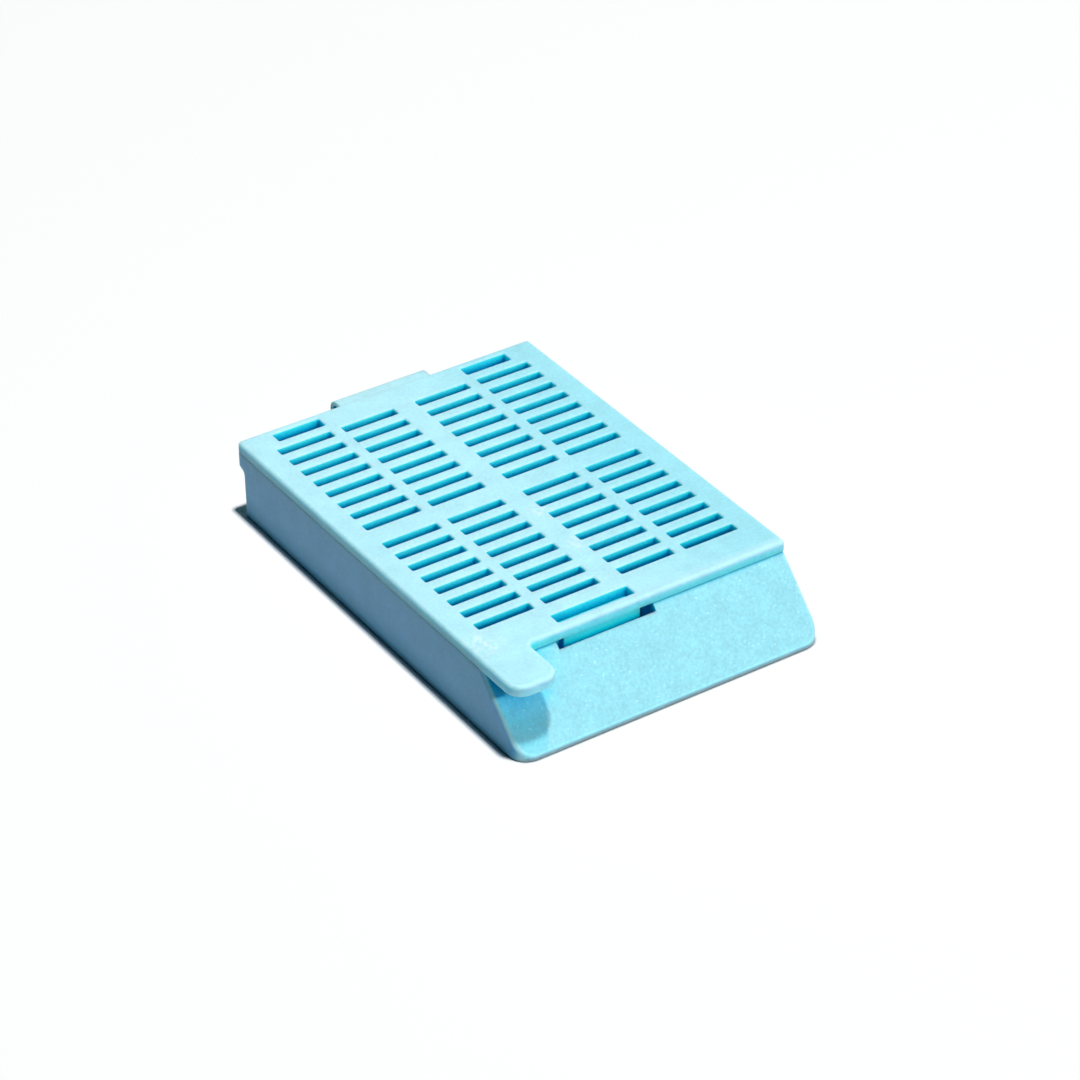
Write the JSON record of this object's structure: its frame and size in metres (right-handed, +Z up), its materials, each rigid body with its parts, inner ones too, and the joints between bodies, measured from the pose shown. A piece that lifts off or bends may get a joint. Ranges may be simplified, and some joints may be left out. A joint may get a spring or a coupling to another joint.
{
  "type": "tissue cassette",
  "caption": "Slotted histology tissue cassette with a strap-hinged, latching lid, a finger tab and a sloped writing panel at the front.",
  "frame": {"origin": "under the middle of the whole closed cassette, on the surface that it stands on", "axes": "+Y points to the hinge and -Y to the writing panel, +X to the right as seen from the panel's side, +Z up"},
  "size_m": [0.0286, 0.0432, 0.0067],
  "materials": {
    "acetal": "satin, slightly translucent pale cyan"
  },
  "bodies": {
    "base": {"base": "acetal"},
    "lid": {"lid": "acetal"}
  },
  "joints": [
    {"name": "lid_hinge", "type": "hinge", "parent": "base", "child": "lid", "pos_m": [0, 0.02155, 0.00565], "axis": [-1, 0, 0], "range_deg": [0, 180]}
  ]
}
